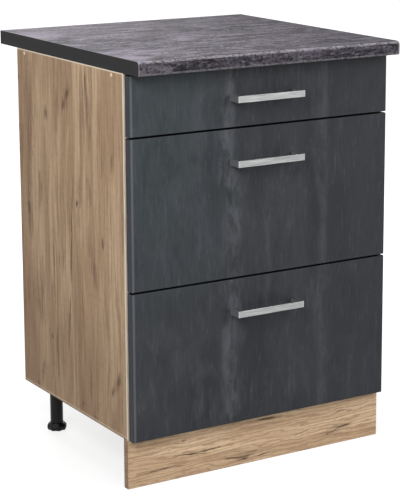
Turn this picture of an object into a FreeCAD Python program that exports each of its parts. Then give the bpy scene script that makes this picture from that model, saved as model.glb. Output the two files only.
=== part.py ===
import FreeCAD, Part
import os
import re
import Sketcher

# A kitchen base cabinet with three drawers: an oak carcass on four screw-in feet, a slab plinth,
# a postformed worktop and three slab fronts with bracket handles. The two deep drawers and the
# shallow one above them are steel-sided boxes that roll out on side runners.
#
# Frame: millimetres, X to the right, the fronts face -Y, Z up from the floor. The origin lies on
# the floor under the worktop's centre.

Vector = FreeCAD.Vector
Constraint = Sketcher.Constraint
X = Vector(1, 0, 0)
Y = Vector(0, 1, 0)
Z = Vector(0, 0, 1)

SIZES = (
    # the carcass
    ("cabinet_width", 600, "over both side panels"),
    ("carcass_height", 720, "side panel, top to bottom"),
    ("carcass_depth", 460, "side panel, front to back"),
    ("board", 16, "thickness of the carcass boards"),
    ("edge_band", 1, "banding on the front edges of the boards"),
    ("board_round", 0.8, "rounding of the edges of side panels and plinth"),
    ("rail_depth", 80, "front and back top rails"),
    ("back_thickness", 3, "back panel"),
    ("groove_inset", 10, "back panel to the boards' rear edges"),
    ("groove_depth", 6, "groove that holds the back panel"),
    ("groove_fit", 0.1, "clearance on each face of the back panel"),
    # the worktop
    ("worktop_depth", 600, "front nose to rear edge"),
    ("worktop_thickness", 28, "laminate included"),
    ("worktop_overhang", 40, "nose in front of the drawer fronts"),
    ("laminate", 0.8, "sheet round the worktop"),
    ("laminate_return", 25, "laminate under the nose"),
    ("nose_top_round", 8, "outer radius of the nose's upper bend"),
    ("nose_round", 5, "outer radius of the nose's lower bend"),
    ("end_band", 1, "black band on each end of the worktop"),
    # plinth, legs and feet
    ("leg_height", 100, "floor to the carcass"),
    ("leg_side_inset", 42, "leg axis to the cabinet's side"),
    ("front_leg_inset", 47, "front leg's axis to the carcass front"),
    ("leg_end_inset", 63.5, "rear leg's axis to the carcass back"),
    ("leg_tube", 27, "leg tube diameter"),
    ("leg_bore", 20.2, "bore of the leg tube"),
    ("leg_flange", 60, "flange diameter"),
    ("flange_thickness", 4, "leg flange"),
    ("leg_screw_circle", 22, "radius of the leg's screw circle"),
    ("foot_disc", 42, "foot diameter"),
    ("foot_height", 15, "foot under the leg tube"),
    ("foot_round", 6, "rounding of the foot's shoulder"),
    ("foot_base_round", 2.5, "rounding of the foot's lower edge"),
    ("foot_stem", 20, "stem diameter"),
    ("stem_length", 45, "stem inside the leg tube"),
    ("foot_gap", 0.3, "foot to the end of the leg tube"),
    ("plinth_thickness", 16, "plinth panel"),
    ("clip_width", 46, "plate of a plinth clip"),
    ("clip_height", 30, "plate of a plinth clip"),
    ("clip_plate", 3, "thickness of the clip's walls"),
    ("clip_base", 35, "floor to the clip's plate"),
    ("clip_fit", 0.2, "clip ring round the leg tube"),
    # fronts and handles
    ("front_thickness", 18, "drawer front"),
    ("front_side_gap", 2, "front to the cabinet's outer face"),
    ("front_gap", 3, "between fronts, and under the worktop"),
    ("bumper_gap", 2, "behind the fronts"),
    ("small_front", 117, "height of the upper front"),
    ("front_edge_round", 1.5, "rounding of the fronts' edges"),
    ("handle_length", 156, "bar"),
    ("handle_height", 13, "bar"),
    ("handle_reach", 32, "bar's outer face from the front"),
    ("handle_bar", 7, "depth of the bar"),
    ("handle_post", 12, "width of a post"),
    ("handle_round", 3, "the bar's two bends"),
    ("handle_edge_round", 0.4, "all other edges"),
    ("handle_drop", 65, "deep front's top edge to its handle"),
    # runners
    ("steel", 1.2, "sheet of runners and drawer sides"),
    ("runner_flange", 10.3, "cabinet channel's flanges, beyond the web"),
    ("runner_setback", 2, "cabinet channel behind the carcass front"),
    ("rear_clearance", 45, "cabinet channel to the back panel"),
    ("front_roller", 22, "diameter"),
    ("rear_roller", 19, "diameter"),
    ("roller_width", 6, "both kinds of roller"),
    ("roller_pin", 5, "pin diameter"),
    ("pin_head", 8, "diameter of a pin's head"),
    ("pin_fit", 0.05, "roller bore round its pin, on the radius"),
    ("pin_head_height", 1, "height of a pin's head"),
    ("front_roller_inset", 4, "front roller to the side panel"),
    ("rear_roller_inset", 4.6, "rear roller to the side panel"),
    ("roller_gap", 0.4, "roller to its pin's head"),
    ("track_gap", 0.2, "rear roller to the channel floor"),
    ("carry_gap", 0.3, "front roller to the drawer's flange"),
    ("channel_gap", 0.4, "rear roller to the channel's top flange"),
    ("roller_overlook", 2.5, "front roller's top above the channel"),
    ("roller_end", 14, "roller axis to the end of its steel"),
    ("notch_gap", 3, "front roller to the channel's top flange"),
    # drawers
    ("deck_clearance", 4, "lower runner above the bottom panel"),
    ("runner_lift", 20, "middle front's lower edge to its runner"),
    ("small_runner_lift", 12, "upper front's lower edge to its runner"),
    ("top_clearance", 6, "upper drawer under the rail"),
    ("wall_inset", 12.8, "drawer side to the side panel's inner face"),
    ("wall_base", 2, "runner's foot to the drawer side's"),
    ("deep_wall", 118, "height of a deep drawer's steel side"),
    ("flange_inset", 3, "carrying flange to the side panel"),
    ("shelf_width", 26, "flange under the drawer bottom"),
    ("hem_width", 4, "fold along the side's top"),
    ("hem_drop", 5, "fold along the side's top"),
    ("tab_width", 18, "flanges on the drawer side's ends"),
    ("tab_base", 26, "those flanges above the runner's foot"),
    ("tab_height", 44, "those flanges"),
    ("drawer_board", 16, "drawer bottom and back"),
    ("board_fit", 0.2, "drawer boards to steel and front"),
    ("deep_back", 168, "height of a deep drawer's back"),
    ("gallery_rod", 10, "diameter of the rods over the sides"),
    ("gallery_cup", 16, "diameter of the cups on the rods' ends"),
    ("cup_length", 6, "one cup"),
    ("gallery_inset", 8.5, "rod axis to the drawer side's inner face"),
    ("gallery_drop", 12, "rod axis under the back's top edge"),
    # fasteners
    ("screw_shank", 3.5, "chipboard screw"),
    ("screw_length", 15, "under the head"),
    ("screw_head", 7, "chipboard screw"),
    ("head_height", 1.6, "chipboard screw"),
    ("screw_margin", 40, "outer screws of a runner to its ends"),
    ("worktop_screw_bite", 14, "depth in the worktop"),
    ("handle_screw", 4, "shank"),
    ("handle_screw_bite", 7, "depth in the handle's post"),
    ("handle_screw_head", 8, "diameter"),
    ("handle_head_height", 2.5, "height"),
    ("cam_diameter", 15, "cam lock"),
    ("cam_depth", 12.5, "cam lock"),
    ("cam_reach", 24, "cam axis to the side panel's inner face"),
    ("bolt_neck", 6, "cam bolt"),
    ("bolt_head", 7, "cam bolt"),
    ("bolt_head_length", 4, "cam bolt"),
    ("bolt_thread", 5, "cam bolt, in the side panel"),
    ("anchor_depth", 11, "bolts and dowels in the side panel"),
    ("dowel_diameter", 8, "wood dowel"),
    ("dowel_length", 30, "wood dowel"),
    ("dowel_inset", 22, "bottom panel's dowels to its ends"),
    ("cam_inset", 120, "bottom panel's cams to its ends"),
    ("front_rail_dowel", 46, "dowel through the side panel to its front"),
    ("front_rail_cam", 22, "cam to the side panel's front"),
    ("back_rail_dowel", 22, "dowel through the side panel to the back panel"),
    ("back_rail_cam", 55, "cam to the back panel"),
)

# Lengths and places that follow from the sizes above.
DERIVED = {
    "side": "cabinet_width/2",
    "inner": "cabinet_width/2 - board",
    "front_plane": "worktop_overhang + front_thickness + bumper_gap - worktop_depth/2",
    "back_plane": "front_plane + carcass_depth",
    "front_inner": "front_plane - bumper_gap",
    "front_outer": "front_inner - front_thickness",
    "deck": "leg_height + board",
    "carcass_top": "leg_height + carcass_height",
    "rail_base": "carcass_top - board",
    "back_front": "back_plane - groove_inset - back_thickness",
    "groove_front": "back_front - groove_fit",
    "groove_rear": "back_plane - groove_inset + groove_fit",
    "worktop_top": "carcass_top + worktop_thickness",
    "large_front": "(carcass_height - small_front - 3*front_gap)/2",
    "middle_base": "leg_height + large_front + front_gap",
    "upper_base": "middle_base + large_front + front_gap",
    "runner_front": "front_plane + runner_setback",
    "runner_length": "back_front - rear_clearance - runner_front",
    "drawer_rear": "front_inner + runner_length",
    "lower_runner": "deck + deck_clearance",
    "middle_runner": "middle_base + runner_lift",
    "upper_runner": "upper_base + small_runner_lift",
    "shallow_wall": "rail_base - top_clearance - upper_runner",
    "wall_inner": "wall_inset + steel",
    "runner_height": "2*steel + track_gap + rear_roller + channel_gap",
    "rear_roller_axis": "steel + track_gap + rear_roller/2",
    "front_roller_axis": "runner_height + roller_overlook - front_roller/2",
    "carrier": "runner_height + roller_overlook + carry_gap",
    "front_head": "front_roller_inset + roller_width + roller_gap",
    "rear_head": "rear_roller_inset - roller_gap",
    "floor_base": "wall_base + steel",
    "floor_top": "floor_base + drawer_board",
    "back_rear": "drawer_rear - steel",
    "handle_screw_place": "(handle_length - handle_post)/2",
}
ALIASES = [alias for alias, _, _ in SIZES]

DRAWERS = {
    # name: front's lower edge, front's height, runner's foot, side's top and back's top over the
    # runner's foot, handle under the front's top edge
    "lower": ("leg_height", "large_front", "lower_runner",
              "deep_wall", "floor_top + deep_back", "handle_drop"),
    "middle": ("middle_base", "large_front", "middle_runner",
               "deep_wall", "floor_top + deep_back", "handle_drop"),
    "upper": ("upper_base", "small_front", "upper_runner",
              "shallow_wall", "shallow_wall", "small_front/2"),
}

doc = FreeCAD.newDocument("base_cabinet")
sheet = doc.addObject("Spreadsheet::Sheet", "Sizes")
for row, (alias, number, note) in enumerate(SIZES, start=1):
    sheet.set(f"A{row}", note)
    sheet.set(f"B{row}", str(number))
    sheet.setAlias(f"B{row}", alias)
doc.recompute()
NODES = []


def bound(text):
    """The expression with derived names written out and cells named in full."""
    def full(match):
        word = match[0]
        if word in DERIVED:
            return f"({bound(DERIVED[word])})"
        return f"Sizes.{word}" if word in ALIASES else word
    return re.sub(r"[a-z][a-z_]*", full, text)


def value(text):
    return float(sheet.evalExpression(bound(text)))


def place(thing, x="0", y="0", z="0"):
    for axis, text in (("x", x), ("y", y), ("z", z)):
        thing.setExpression(f"Placement.Base.{axis}", bound(text))


def node(thing, name):
    """Take the object as the finished sub-part of that name."""
    thing.Label = name
    NODES.append(thing)
    return thing


# ---- features

def new_body(name, x="0", y="0", z="0"):
    body = doc.addObject("PartDesign::Body", name)
    place(body, x, y, z)
    return body


def sketch(body, plane, drawing, start):
    """Sketch on the body's own XY, XZ or YZ plane, moved along the plane's axis to start.

    drawing is a list of corners, or circles as (x, y, radius)."""
    drawn = body.newObject("Sketcher::SketchObject", f"{body.Name}_sketch")
    planes = {feature.Role: feature for feature in body.Origin.OriginFeatures}
    drawn.AttachmentSupport = (planes[f"{plane}_Plane"], [""])
    drawn.MapMode = "FlatFace"
    sign = "-" if plane == "XZ" else ""
    drawn.setExpression("AttachmentOffset.Base.z", bound(f"{sign}({start})"))
    if len(drawing[0]) == 3:
        for across, up, radius in drawing:
            circle = Part.Circle(Vector(value(across), value(up), 0), Vector(0, 0, 1), value(radius))
            number = drawn.addGeometry(circle, False)
            fix_point(drawn, number, 3, across, up)
            fixed = drawn.addConstraint(Constraint("Radius", number, value(radius)))
            drawn.setExpression(f"Constraints[{fixed}]", bound(radius))
        return drawn
    corners = [Vector(value(across), value(up), 0) for across, up in drawing]
    following = corners[1:] + corners[:1]
    drawn.addGeometry([Part.LineSegment(a, b) for a, b in zip(corners, following)], False)
    for number in range(len(corners)):
        drawn.addConstraint(Constraint("Coincident", number, 2, (number + 1) % len(corners), 1))
    for number, (across, up) in enumerate(drawing):
        fix_point(drawn, number, 1, across, up)
    return drawn


def fix_point(drawn, number, point, across, up):
    """Tie a sketch point to the origin by its two distances."""
    for kind, text, axis in (("DistanceX", across, -2), ("DistanceY", up, -1)):
        if value(text) == 0:
            drawn.addConstraint(Constraint("PointOnObject", number, point, axis))
            continue
        fixed = drawn.addConstraint(Constraint(kind, -1, 1, number, point, value(text)))
        drawn.setExpression(f"Constraints[{fixed}]", bound(text))


def pad(body, plane, drawing, length, start="0"):
    """Pad along the plane's positive axis, from start."""
    feature = body.newObject("PartDesign::Pad", f"{body.Name}_pad")
    feature.Profile = sketch(body, plane, drawing, start)
    feature.setExpression("Length", bound(length))
    feature.Reversed = plane == "XZ"
    return feature


def spun(body, drawing):
    """Turn an outline in XZ a full turn round the body's own Z axis."""
    feature = body.newObject("PartDesign::Revolution", f"{body.Name}_spin")
    profile = sketch(body, "XZ", drawing, "0")
    feature.Profile = profile
    feature.ReferenceAxis = (profile, ["V_Axis"])
    feature.Angle = 360
    return feature


def rounded(body, radius, chosen=None):
    """Round the chosen edges of the body, or all of them."""
    doc.recompute()
    last = body.Tip
    names = [f"Edge{number}" for number, edge in enumerate(last.Shape.Edges, start=1)
             if chosen is None or chosen(edge)]
    feature = body.newObject("PartDesign::Fillet", f"{body.Name}_round")
    feature.Base = (last, names)
    feature.setExpression("Radius", bound(radius))
    return feature


def rectangle(left, right, low, high):
    return [(left, low), (right, low), (right, high), (left, high)]


def plank(name, x, y, z):
    """A plain board between the given pairs of places."""
    body = new_body(name, x[0], y[0], z[0])
    size_x, size_y, size_z = (f"({high}) - ({low})" for low, high in (x, y, z))
    pad(body, "XY", rectangle("0", size_x, "0", size_y), size_z)
    return body


def cut(thing, tool):
    feature = doc.addObject("Part::Cut", f"{thing.Name}_cut")
    feature.Base = thing
    feature.Tool = tool
    return feature


def mirrored(thing):
    feature = doc.addObject("Part::Mirroring", f"{thing.Name}_mirrored")
    feature.Source = thing
    feature.Normal = Vector(1, 0, 0)
    return feature


def group(name, members):
    feature = doc.addObject("Part::Compound", name)
    feature.Links = members
    return feature


def pair(name, members):
    """The members on the left and their mirror images on the right."""
    left = group(f"{name}_left", members)
    return group(name, [left, mirrored(left)])


def copy(master, x, y, z, towards=Z):
    """A copy of a master that was drawn along Z, turned and moved to its place."""
    linked = doc.addObject("App::Link", f"{master.Name}_copy")
    linked.LinkedObject = master
    linked.Placement = FreeCAD.Placement(Vector(), FreeCAD.Rotation(Z, towards))
    place(linked, x, y, z)
    return linked


# ---- fastener masters, drawn from under the head, along Z

def screw(name, head, height, shank, length):
    body = new_body(name)
    spun(body, [("0", f"-({height})"), (f"{head}/2", f"-({height})"), (f"{head}/2", "0"),
                (f"{shank}/2", "0"), (f"{shank}/2", length), ("0", length)])
    return body


CHIPBOARD_SCREW = screw("chipboard_screw", "screw_head", "head_height",
                        "screw_shank", "screw_length")
WORKTOP_SCREW = screw("worktop_screw", "screw_head", "head_height",
                      "screw_shank", "board + worktop_screw_bite")
HANDLE_SCREW = screw("handle_screw", "handle_screw_head", "handle_head_height",
                     "handle_screw", "front_thickness + handle_screw_bite")


def cam_bolt():
    """Thread in the side panel below zero, neck and head in the board above it."""
    body = new_body("cam_bolt")
    spun(body, [("0", "-anchor_depth"), ("bolt_thread/2", "-anchor_depth"), ("bolt_thread/2", "0"),
                ("bolt_neck/2", "0"), ("bolt_neck/2", "cam_reach - bolt_head_length"),
                ("bolt_head/2", "cam_reach - bolt_head_length"), ("bolt_head/2", "cam_reach"),
                ("0", "cam_reach")])
    return body


def solid_cam():
    body = new_body("cam")
    spun(body, [("0", "0"), ("cam_diameter/2", "0"), ("cam_diameter/2", "cam_depth"),
                ("0", "cam_depth")])
    return body


def dowel(name, depth):
    """A peg that reaches to that depth in the side panel."""
    body = new_body(name)
    radius = "dowel_diameter/2"
    spun(body, [("0", f"-{depth}"), (radius, f"-{depth}"),
                (radius, f"dowel_length - {depth}"), ("0", f"dowel_length - {depth}")])
    return body


BOLT = cam_bolt()
CAM = solid_cam()
BLIND_DOWEL = dowel("blind_dowel", "anchor_depth")
THROUGH_DOWEL = dowel("through_dowel", "board")


# ---- the carcass's fasteners, of which the left half is placed and mirrored

def carcass_joints():
    """Cams, bolts and dowels; the ends of the rails' dowels show in the side panels."""
    cams = (("front_plane + cam_inset", "leg_height"), ("back_plane - cam_inset", "leg_height"),
            ("front_plane + front_rail_cam", "rail_base"),
            ("groove_front - back_rail_cam", "rail_base"))
    dowels = ((BLIND_DOWEL, "front_plane + dowel_inset", "leg_height"),
              (BLIND_DOWEL, "back_plane - dowel_inset", "leg_height"),
              (THROUGH_DOWEL, "front_plane + front_rail_dowel", "rail_base"),
              (THROUGH_DOWEL, "groove_front - back_rail_dowel", "rail_base"))
    bolts = [copy(BOLT, "-(inner)", y, f"{z} + board/2", X) for y, z in cams]
    locks = [copy(CAM, "cam_reach - inner", y, z) for y, z in cams]
    pegs = [copy(peg, "-(inner)", y, f"{z} + board/2", X) for peg, y, z in dowels]
    bolt_pair = node(pair("bolts", bolts), "cam_bolts")
    lock_pair = node(cut(pair("locks", locks), bolt_pair), "cam_locks")
    return [bolt_pair, lock_pair, node(pair("pegs", pegs), "wood_dowels")]


LEGS = {"front": "front_plane + front_leg_inset", "rear": "back_plane - leg_end_inset"}
LEG_X = "leg_side_inset - side"
PLINTH_REAR = "front_plane + plinth_thickness"
CLIP_SCREW_Z = "clip_base + clip_height/2"


def chipboard_screws():
    """The screws of legs, clips, back panel and runners, which are all of one kind."""
    placed = []
    reach = f"leg_screw_circle/{2 ** 0.5:.6f}"
    for y in LEGS.values():
        for side_x in ("+", "-"):
            for side_y in ("+", "-"):
                placed.append(copy(CHIPBOARD_SCREW, f"{LEG_X} {side_x} {reach}",
                                   f"{y} {side_y} {reach}", "leg_height - flange_thickness"))
    for sign in ("+", "-"):
        placed.append(copy(CHIPBOARD_SCREW, f"{LEG_X} {sign} (clip_width - 2*screw_head)/2",
                           f"{PLINTH_REAR} + clip_plate", CLIP_SCREW_Z, -Y))
    for share in ("0.3", "0.8"):
        placed.append(copy(CHIPBOARD_SCREW, f"-(inner)*{share}", "back_front + back_thickness",
                           "rail_base + board/2", -Y))
    for _, _, foot, _, _, _ in DRAWERS.values():
        for y in ("screw_margin", "runner_length/2", "runner_length - screw_margin"):
            placed.append(copy(CHIPBOARD_SCREW, "steel - inner", f"runner_front + {y}",
                               f"{foot} + runner_height/2", -X))
    return node(pair("small_screws", placed), "chipboard_screws")


def worktop_screws():
    rails = ("front_plane + rail_depth/2", "groove_front - rail_depth/2")
    placed = [copy(WORKTOP_SCREW, "-(inner)*0.7", y, "rail_base") for y in rails]
    return node(pair("long_screws", placed), "worktop_screws")


FASTENERS = group("carcass_fasteners", carcass_joints() + [chipboard_screws(), worktop_screws()])


# ---- carcass boards

def side_panels():
    """Grooved for the back panel on the inner face; the right one mirrors the left."""
    body = new_body("side_panel", "-(side)", "front_plane", "leg_height")
    slot = "board - groove_depth"
    pad(body, "XY", [("0", "edge_band"), ("board", "edge_band"),
                     ("board", "groove_front - front_plane"), (slot, "groove_front - front_plane"),
                     (slot, "groove_rear - front_plane"), ("board", "groove_rear - front_plane"),
                     ("board", "carcass_depth"), ("0", "carcass_depth")], "carcass_height")

    def seen_from_outside(edge):
        box = edge.BoundBox
        rear = box.YMin > value("carcass_depth") - 1e-6
        top = box.ZMin > value("carcass_height") - 1e-6
        return box.XMax < 1e-6 and (rear or top or box.ZMax < 1e-6)
    rounded(body, "board_round", seen_from_outside)
    left = node(cut(body, FASTENERS), "side_panel_left")
    node(mirrored(left), "side_panel_right")


def bottom_panel():
    body = new_body("bottom", "-(inner)", "front_plane", "leg_height")
    slot = "board - groove_depth"
    pad(body, "YZ", [("edge_band", "0"), ("carcass_depth", "0"), ("carcass_depth", "board"),
                     ("groove_rear - front_plane", "board"), ("groove_rear - front_plane", slot),
                     ("groove_front - front_plane", slot), ("groove_front - front_plane", "board"),
                     ("edge_band", "board")], "2*inner")
    node(cut(body, FASTENERS), "bottom_panel")


def rails():
    across = ("-(inner)", "inner")
    height = ("rail_base", "carcass_top")
    front = plank("rail_front", across, ("front_plane + edge_band", "front_plane + rail_depth"), height)
    back = plank("rail_back", across, ("groove_front - rail_depth", "groove_front"), height)
    node(cut(front, FASTENERS), "front_rail")
    node(cut(back, FASTENERS), "back_rail")


def back_panel():
    reach = "inner + groove_depth - groove_fit"
    board = plank("back", (f"-({reach})", reach), ("back_front", "back_front + back_thickness"),
                  ("deck - groove_depth + groove_fit", "carcass_top"))
    node(cut(board, FASTENERS), "back_panel")


def edge_bands():
    """Strips on the front edges of both sides, the bottom panel and the front rail."""
    depth = ("front_plane", "front_plane + edge_band")
    side = plank("side_band", ("-(side)", "-(inner)"), depth, ("leg_height", "carcass_top"))
    rounded(side, "board_round", lambda edge: edge.BoundBox.XMax < 1e-6 and edge.BoundBox.YMax < 1e-6)
    across = ("-(inner)", "inner")
    bottom = plank("bottom_band", across, depth, ("leg_height", "deck"))
    rail = plank("rail_band", across, depth, ("rail_base", "carcass_top"))
    node(group("bands", [side, mirrored(side), bottom, rail]), "edge_bands")


# ---- worktop

def along_x_at(*corners):
    """Chooses the edges along X that pass through the given places in YZ."""
    places = [(value(y), value(z)) for y, z in corners]

    def chosen(edge):
        if len(edge.Vertexes) != 2:
            return False
        a, b = (vertex.Point for vertex in edge.Vertexes)
        straight = abs(a.y - b.y) + abs(a.z - b.z) < 1e-6
        return straight and any(abs(a.y - y) + abs(a.z - z) < 1e-6 for y, z in places)
    return chosen


def round_nose(body, lower, upper, less=""):
    """Rounds the nose's two edges, each given by its Y and Z; less takes the sheet off the radii."""
    rounded(body, f"nose_round{less}", along_x_at(lower))
    rounded(body, f"nose_top_round{less}", along_x_at(upper))


def worktop():
    """A board under one sheet that runs over its top, round the nose and back underneath."""
    nose, rear, under, top = "-worktop_depth/2", "worktop_depth/2", "carcass_top", "worktop_top"
    inner_nose, inner_under, inner_top = f"{nose} + laminate", f"{under} + laminate", f"{top} - laminate"
    lip = f"{nose} + laminate_return"

    sheet_body = new_body("laminate_sheet", "end_band - side")
    pad(sheet_body, "YZ", [(nose, under), (lip, under), (lip, inner_under), (inner_nose, inner_under),
                           (inner_nose, inner_top), (rear, inner_top), (rear, top), (nose, top)],
        "2*(side - end_band)")
    round_nose(sheet_body, (nose, under), (nose, top))
    round_nose(sheet_body, (inner_nose, inner_under), (inner_nose, inner_top), " - laminate")
    node(sheet_body, "worktop_laminate")

    core = new_body("core", "end_band - side")
    pad(core, "YZ", [(lip, under), (rear, under), (rear, inner_top), (inner_nose, inner_top),
                     (inner_nose, inner_under), (lip, inner_under)], "2*(side - end_band)")
    round_nose(core, (inner_nose, inner_under), (inner_nose, inner_top), " - laminate")
    node(cut(core, FASTENERS), "worktop_core")

    band = new_body("end_strip", "-(side)")
    pad(band, "YZ", rectangle(nose, rear, under, top), "end_band")
    round_nose(band, (nose, under), (nose, top))
    node(group("end_strips", [band, mirrored(band)]), "worktop_end_bands")


# ---- legs, feet and plinth

def ring_at(diameter, height):
    """Chooses the full circle of that diameter at that height."""
    def chosen(edge):
        box = edge.BoundBox
        return abs(box.ZMin - value(height)) < 1e-6 and abs(box.XLength - value(diameter)) < 1e-3
    return chosen


def legs():
    """Flanged tubes under the corners, and the feet that screw into them."""
    tube = new_body("tube")
    shoulder = "leg_height - flange_thickness"
    end = "foot_height + foot_gap"
    spun(tube, [("leg_bore/2", end), ("leg_tube/2", end), ("leg_tube/2", shoulder),
                ("leg_flange/2", shoulder), ("leg_flange/2", "leg_height"), ("0", "leg_height"),
                ("0", shoulder), ("leg_bore/2", shoulder)])
    foot = new_body("screw_foot")
    spun(foot, [("0", "0"), ("foot_disc/2", "0"), ("foot_disc/2", "foot_height"),
                ("foot_stem/2", "foot_height"), ("foot_stem/2", "foot_height + stem_length"),
                ("0", "foot_height + stem_length")])

    rounded(foot, "foot_round", ring_at("foot_disc", "foot_height"))
    rounded(foot, "foot_base_round", ring_at("foot_disc", "0"))
    for end_name, y in LEGS.items():
        left_leg = copy(tube, LEG_X, y, "0")
        left_foot = group(f"{end_name}_foot", [copy(foot, LEG_X, y, "0")])
        leg = node(cut(left_leg, FASTENERS), f"leg_{end_name}_left")
        node(left_foot, f"foot_{end_name}_left")
        node(mirrored(leg), f"leg_{end_name}_right")
        node(mirrored(left_foot), f"foot_{end_name}_right")


def plinth():
    board = plank("kickboard", ("-(side)", "side"), ("front_plane", PLINTH_REAR), ("0", "leg_height"))
    rounded(board, "board_round", lambda edge: edge.BoundBox.YMax < 1e-6)
    node(cut(board, FASTENERS), "plinth_panel")

    # A clip: a plate on the plinth, a web, and a ring that is open behind the leg tube.
    ring_radius = "leg_tube/2 + clip_fit + clip_plate"
    clip = new_body("clip", LEG_X, LEGS["front"], "clip_base")
    plate = "plinth_thickness - front_leg_inset"
    half_plate, half_web = "clip_width/2", "clip_plate"
    pad(clip, "XY", rectangle(f"-{half_plate}", half_plate, plate, f"{plate} + clip_plate"),
        "clip_height")
    pad(clip, "XY", rectangle(f"-{half_web}", half_web, plate, "0"), "clip_height")
    pad(clip, "XY", [("0", "0", ring_radius)], "clip_height")
    room = new_body("clip_room", LEG_X, LEGS["front"], "clip_base")
    pad(room, "XY", [("0", "0", "leg_tube/2 + clip_fit")], "clip_height")
    mouth = plank("clip_mouth", (f"{LEG_X} - leg_tube/2 - clip_fit - clip_plate",
                                 f"{LEG_X} + leg_tube/2 + clip_fit + clip_plate"),
                  (f"{LEGS['front']} + leg_tube/4", f"{LEGS['front']} + leg_tube"),
                  ("clip_base", "clip_base + clip_height"))
    opened = cut(cut(cut(clip, room), mouth), FASTENERS)
    node(group("clips", [opened, mirrored(opened)]), "plinth_clips")


# ---- runners and rollers

def cabinet_runner(name, foot):
    """A channel on the side panel, with a pin for the front roller where its top flange is cut."""
    body = new_body(f"{name}_channel", "-(inner)", "runner_front", foot)
    flange = "steel + runner_flange"
    pad(body, "XZ", [("0", "0"), (flange, "0"), (flange, "steel"), ("steel", "steel"),
                     ("steel", "runner_height"), ("0", "runner_height")], "runner_length")
    notch = "roller_end + front_roller/2 + notch_gap"
    pad(body, "XZ", rectangle("0", flange, "runner_height - steel", "runner_height"),
        f"runner_length - ({notch})", notch)
    pad(body, "YZ", [("roller_end", "front_roller_axis", "roller_pin/2")], "front_head")
    pad(body, "YZ", [("roller_end", "front_roller_axis", "pin_head/2")], "pin_head_height",
        "front_head")
    left = node(cut(body, FASTENERS), f"cabinet_runner_{name}_left")
    node(mirrored(left), f"cabinet_runner_{name}_right")


def roller(name, diameter, x, y, z):
    body = new_body(name, x, y, z)
    pad(body, "YZ", [("0", "0", f"{diameter}/2"), ("0", "0", "roller_pin/2 + pin_fit")],
        "roller_width")
    return body


def rollers(name, foot):
    front = roller(f"{name}_front_wheel", "front_roller", "front_roller_inset - inner",
                   "runner_front + roller_end", f"{foot} + front_roller_axis")
    rear = roller(f"{name}_rear_wheel", "rear_roller", "rear_roller_inset - inner",
                  "drawer_rear - roller_end", f"{foot} + rear_roller_axis")
    node(pair(f"{name}_front_wheels", [front]), f"front_rollers_{name}")
    node(pair(f"{name}_rear_wheels", [rear]), f"rear_rollers_{name}")


# ---- drawers

def drawer_screws(name, foot, handle_height):
    tab_x = "wall_inner + tab_width/2 - inner"
    placed = []
    for share in ("0.25", "0.75"):
        z = f"{foot} + tab_base + tab_height*{share}"
        placed.append(copy(CHIPBOARD_SCREW, tab_x, "front_inner + steel", z, -Y))
        placed.append(copy(CHIPBOARD_SCREW, tab_x, "drawer_rear", z, -Y))
    for share in ("0.15", "0.5", "0.85"):
        placed.append(copy(CHIPBOARD_SCREW, "wall_inner + shelf_width/2 - inner",
                           f"front_inner + runner_length*{share}", f"{foot} + wall_base"))
    placed.append(copy(HANDLE_SCREW, "-(handle_screw_place)", "front_inner", handle_height, -Y))
    return node(pair(f"{name}_screws", placed), f"drawer_screws_{name}")


def drawer_side(name, foot, top, screws):
    """Folded steel: wall, carrying flange, shelf under the bottom, hem, end tabs and roller pin."""
    body = new_body(f"{name}_side", "-(inner)", "front_inner", foot)
    outer, inside = "wall_inset", "wall_inner"
    hem, lip = "wall_inset - hem_width", "wall_inset - hem_width + steel"
    shelf = "wall_inner + shelf_width"
    pad(body, "XZ", [(outer, "wall_base"), (shelf, "wall_base"), (shelf, "floor_base"),
                     (inside, "floor_base"), (inside, top), (hem, top),
                     (hem, f"{top} - hem_drop"), (lip, f"{top} - hem_drop"),
                     (lip, f"{top} - steel"), (outer, f"{top} - steel"),
                     (outer, "carrier + steel"), ("flange_inset", "carrier + steel"),
                     ("flange_inset", "carrier"), (outer, "carrier")], "runner_length")
    tab = rectangle(outer, "wall_inner + tab_width", "tab_base", "tab_base + tab_height")
    pad(body, "XZ", tab, "steel")
    pad(body, "XZ", tab, "steel", "runner_length - steel")
    axis = ("runner_length - roller_end", "rear_roller_axis")
    pad(body, "YZ", [(*axis, "roller_pin/2")], "wall_inner - rear_head", "rear_head")
    pad(body, "YZ", [(*axis, "pin_head/2")], "pin_head_height", "rear_head - pin_head_height")
    left = node(cut(body, screws), f"drawer_side_{name}_left")
    node(mirrored(left), f"drawer_side_{name}_right")


def drawer_boards(name, foot, back_top, screws):
    half = "inner - wall_inner - board_fit"
    across = (f"-({half})", half)
    bottom = plank(f"{name}_floor", across, ("front_inner + board_fit", "back_rear"),
                   (f"{foot} + floor_base", f"{foot} + floor_top"))
    back = plank(f"{name}_end", across, ("back_rear - drawer_board", "back_rear"),
                 (f"{foot} + floor_top", f"{foot} + {back_top}"))
    node(cut(bottom, screws), f"drawer_bottom_{name}")
    node(cut(back, screws), f"drawer_back_{name}")


def drawer_front(name, base, height, screws):
    board = plank(f"{name}_slab", ("front_side_gap - side", "side - front_side_gap"),
                  ("front_outer", "front_inner"), (base, f"{base} + {height}"))
    rounded(board, "front_edge_round")
    node(cut(board, screws), f"drawer_front_{name}")


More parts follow.
